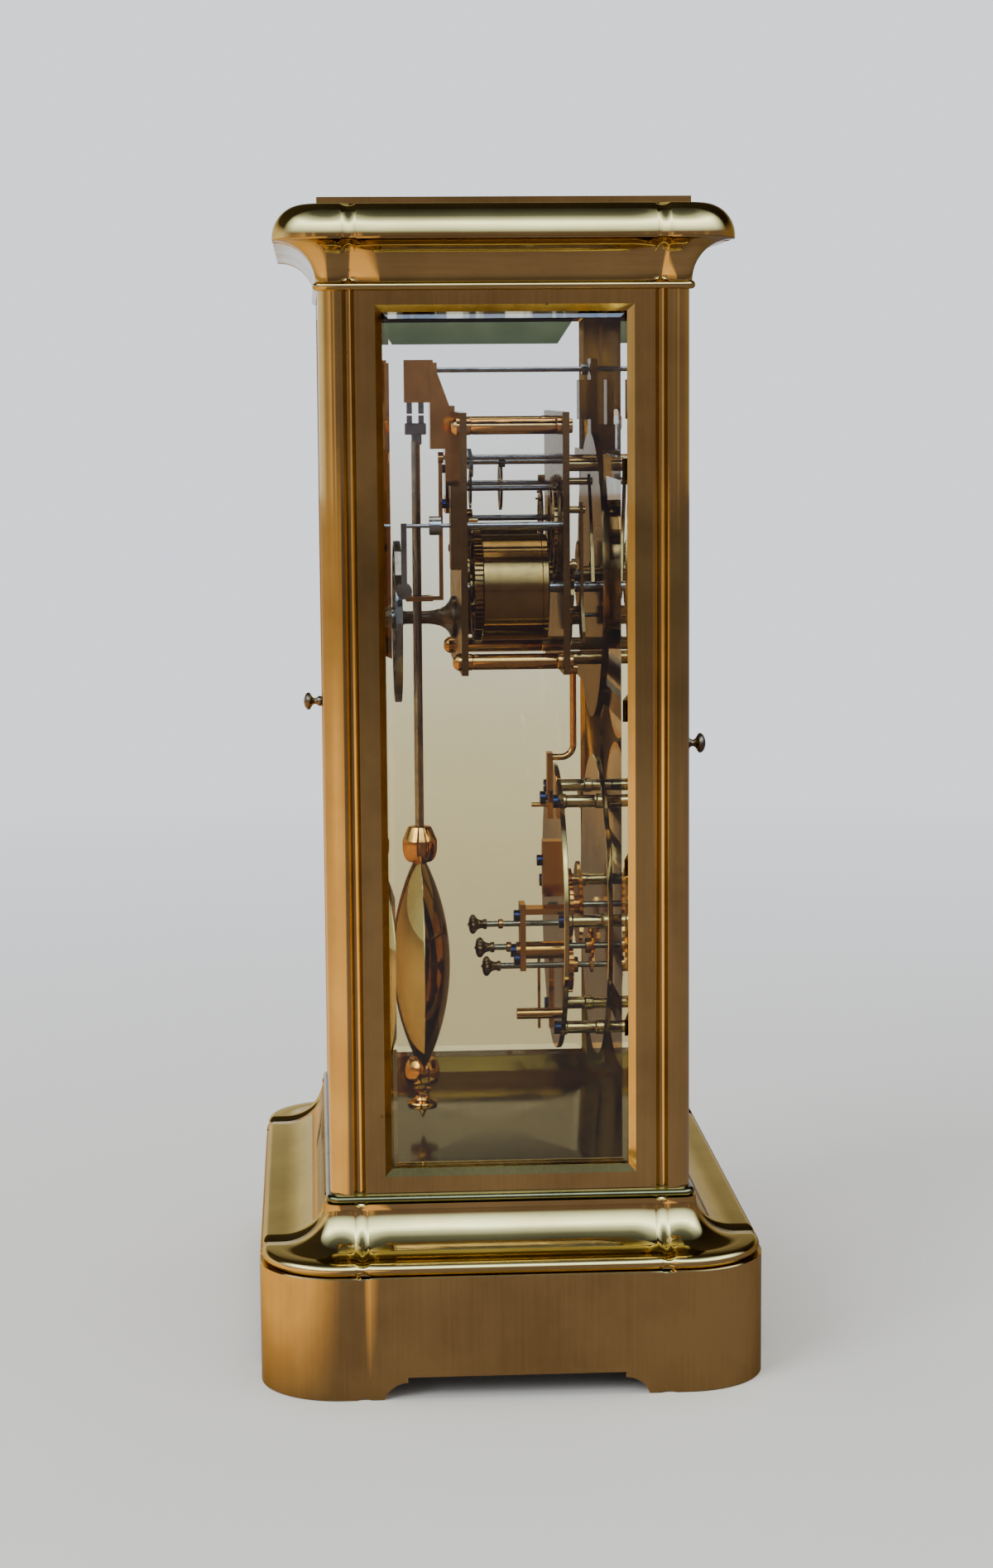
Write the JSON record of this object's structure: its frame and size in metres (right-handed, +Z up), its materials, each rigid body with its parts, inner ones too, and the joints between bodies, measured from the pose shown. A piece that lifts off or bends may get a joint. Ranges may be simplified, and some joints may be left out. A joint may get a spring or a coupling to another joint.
{
  "type": "regulator clock",
  "caption": "Brass four-glass table regulator clock with stepped plinth, bevelled panes, striking movement, pendulum with lens bob and perpetual calendar dial.",
  "frame": {"origin": "middle of the plinth's underside, on the table", "axes": "+Z up, -Y towards the dials (front), +Y towards the pendulum (back), X along the width"},
  "size_m": [0.2636, 0.187, 0.4321],
  "materials": {
    "brass": "polished, lacquered",
    "gilt": "bright gilt",
    "aged_brass": "polished, toned olive",
    "dark_bronze": "dark bronze patina",
    "steel": "polished",
    "blued_steel": "blued",
    "glass": "bevelled, clear",
    "enamel": "white enamel"
  },
  "bodies": {
    "case": {"plinth": "brass", "base_moulding": "brass", "floor_plate": "aged_brass", "corner_posts": "brass", "side_frame_left": "brass", "side_frame_right": "brass", "side_glass_left": "glass", "side_glass_right": "glass", "upper_astragal": "brass", "cornice": "brass", "top_plate": "brass", "top_glass": "glass", "back_plate": "brass", "front_plate": "brass", "movement_pillars": "gilt", "suspension_cock": "gilt", "suspension_spring": "steel", "gong_post": "dark_bronze", "gong_coil": "steel", "false_plate": "brass", "dial_bars": "brass", "time_dial": "enamel", "dial_bezels": "gilt", "calendar_back_plate": "brass", "calendar_front_plate": "brass", "calendar_bracket": "gilt", "calendar_screws": "blued_steel", "calendar_dial": "enamel"},
    "front_door": {"front_door_frame": "brass", "front_door_glass": "glass", "front_door_knob": "dark_bronze"},
    "back_door": {"back_door_frame": "brass", "back_door_glass": "glass", "back_door_knob": "dark_bronze"},
    "pendulum": {"pendulum_rod": "steel", "pendulum_bob": "aged_brass", "bob_collars": "gilt"},
    "nut": {"rating_nut": "gilt"},
    "escapement_arm": {"crutch": "gilt", "pallets": "steel"},
    "minute_arbor": {"centre_wheel": "brass", "minute_hand": "blued_steel"},
    "hour_pipe": {"hour_wheel": "brass", "hour_hand": "blued_steel"},
    "minute_wheel_body": {"minute_wheel": "brass"},
    "going_barrel_body": {"going_barrel": "brass"},
    "intermediate_wheel_body": {"intermediate_wheel": "brass"},
    "third_wheel_body": {"third_wheel": "brass"},
    "escape_wheel_body": {"escape_wheel": "brass"},
    "strike_barrel_body": {"strike_barrel": "brass"},
    "strike_wheel_body": {"strike_wheel": "brass"},
    "warning_wheel_body": {"warning_wheel": "brass"},
    "fly_body": {"fly": "brass"},
    "hammer_body": {"hammer": "steel"},
    "rating_arbor_body": {"rating_arbor": "steel"},
    "day_work_body": {"day_work": "dark_bronze"},
    "month_work_body": {"month_work": "dark_bronze"},
    "date_work_body": {"date_work": "brass"},
    "date_setter_body": {"date_setter": "dark_bronze"},
    "trip_lever_body": {"trip_lever": "gilt"}
  },
  "joints": [
    {"name": "front_door_swing", "type": "hinge", "parent": "case", "child": "front_door", "pos_m": [0.0896, -0.0657, 0.237], "axis": [0, 0, 1], "range_deg": [0, 110]},
    {"name": "back_door_swing", "type": "hinge", "parent": "case", "child": "back_door", "pos_m": [-0.0896, 0.0657, 0.237], "axis": [0, 0, 1], "range_deg": [0, 110]},
    {"name": "pendulum_swing", "type": "hinge", "parent": "case", "child": "pendulum", "pos_m": [0, 0.029, 0.354], "axis": [0, 1, 0], "range_deg": [-4, 4]},
    {"name": "rating_nut_turn", "type": "hinge", "parent": "pendulum", "child": "nut", "pos_m": [0, 0.029, 0.08], "axis": [0, 0, 1], "continuous": true},
    {"name": "crutch_swing", "type": "hinge", "parent": "case", "child": "escapement_arm", "pos_m": [0, 0.019, 0.3375], "axis": [0, 1, 0], "range_deg": [-5.25, 5.25]},
    {"name": "hands_turn", "type": "hinge", "parent": "case", "child": "minute_arbor", "pos_m": [0, 0, 0.291], "axis": [0, 1, 0], "continuous": true},
    {"name": "hour_turn", "type": "hinge", "parent": "case", "child": "hour_pipe", "pos_m": [0, -0.045, 0.291], "axis": [0, 1, 0], "continuous": true},
    {"name": "minute_wheel_turn", "type": "hinge", "parent": "case", "child": "minute_wheel_body", "pos_m": [0, -0.033, 0.275], "axis": [0, 1, 0], "continuous": true},
    {"name": "going_barrel_turn", "type": "hinge", "parent": "case", "child": "going_barrel_body", "pos_m": [-0.0246, 0, 0.288], "axis": [0, 1, 0], "continuous": true},
    {"name": "intermediate_turn", "type": "hinge", "parent": "case", "child": "intermediate_wheel_body", "pos_m": [-0.014, 0, 0.3103], "axis": [0, 1, 0], "continuous": true},
    {"name": "third_turn", "type": "hinge", "parent": "case", "child": "third_wheel_body", "pos_m": [0.008, 0, 0.31], "axis": [0, 1, 0], "continuous": true},
    {"name": "escape_turn", "type": "hinge", "parent": "case", "child": "escape_wheel_body", "pos_m": [0.0025, 0, 0.3254], "axis": [0, 1, 0], "continuous": true},
    {"name": "strike_wheel_turn", "type": "hinge", "parent": "case", "child": "strike_wheel_body", "pos_m": [0.026, 0, 0.31265], "axis": [0, 1, 0], "continuous": true},
    {"name": "strike_barrel_turn", "type": "hinge", "parent": "case", "child": "strike_barrel_body", "pos_m": [0.0246, 0, 0.288], "axis": [0, 1, 0], "continuous": true},
    {"name": "warning_turn", "type": "hinge", "parent": "case", "child": "warning_wheel_body", "pos_m": [0.022, 0, 0.3266], "axis": [0, 1, 0], "continuous": true},
    {"name": "fly_turn", "type": "hinge", "parent": "case", "child": "fly_body", "pos_m": [0.0135, 0, 0.3353], "axis": [0, 1, 0], "continuous": true},
    {"name": "hammer_lift", "type": "hinge", "parent": "case", "child": "hammer_body", "pos_m": [-0.036, 0, 0.3125], "axis": [0, 1, 0], "range_deg": [0, 18], "stiffness_Nm_per_rad": 0.02},
    {"name": "rating_arbor_turn", "type": "hinge", "parent": "case", "child": "rating_arbor_body", "pos_m": [0, 0, 0.3715], "axis": [0, 1, 0], "continuous": true},
    {"name": "day_turn", "type": "hinge", "parent": "case", "child": "day_work_body", "pos_m": [-0.026, 0, 0.147], "axis": [0, 1, 0], "continuous": true},
    {"name": "month_turn", "type": "hinge", "parent": "case", "child": "month_work_body", "pos_m": [0.026, 0, 0.147], "axis": [0, 1, 0], "continuous": true},
    {"name": "date_turn", "type": "hinge", "parent": "case", "child": "date_work_body", "pos_m": [0, 0, 0.159], "axis": [0, 1, 0], "continuous": true},
    {"name": "date_setter_turn", "type": "hinge", "parent": "case", "child": "date_setter_body", "pos_m": [0, 0, 0.1345], "axis": [0, 1, 0], "continuous": true},
    {"name": "trip_lift", "type": "slide", "parent": "case", "child": "trip_lever_body", "axis": [0, 0, 1], "range_m": [0, 0.003]}
  ],
  "couplings": [
    {"joint": "crutch_swing", "follows": "pendulum_swing", "ratio": 1.3},
    {"joint": "hour_turn", "follows": "hands_turn", "ratio": 0.083333},
    {"joint": "minute_wheel_turn", "follows": "hands_turn", "ratio": -0.33333},
    {"joint": "intermediate_turn", "follows": "hands_turn", "ratio": -0.25},
    {"joint": "going_barrel_turn", "follows": "hands_turn", "ratio": 0.037879},
    {"joint": "third_turn", "follows": "hands_turn", "ratio": -6},
    {"joint": "escape_turn", "follows": "hands_turn", "ratio": 36},
    {"joint": "strike_barrel_turn", "follows": "strike_wheel_turn", "ratio": -0.15152},
    {"joint": "warning_turn", "follows": "strike_wheel_turn", "ratio": -4.2},
    {"joint": "fly_turn", "follows": "strike_wheel_turn", "ratio": 23.1},
    {"joint": "date_setter_turn", "follows": "date_turn", "ratio": -1.3333}
  ]
}
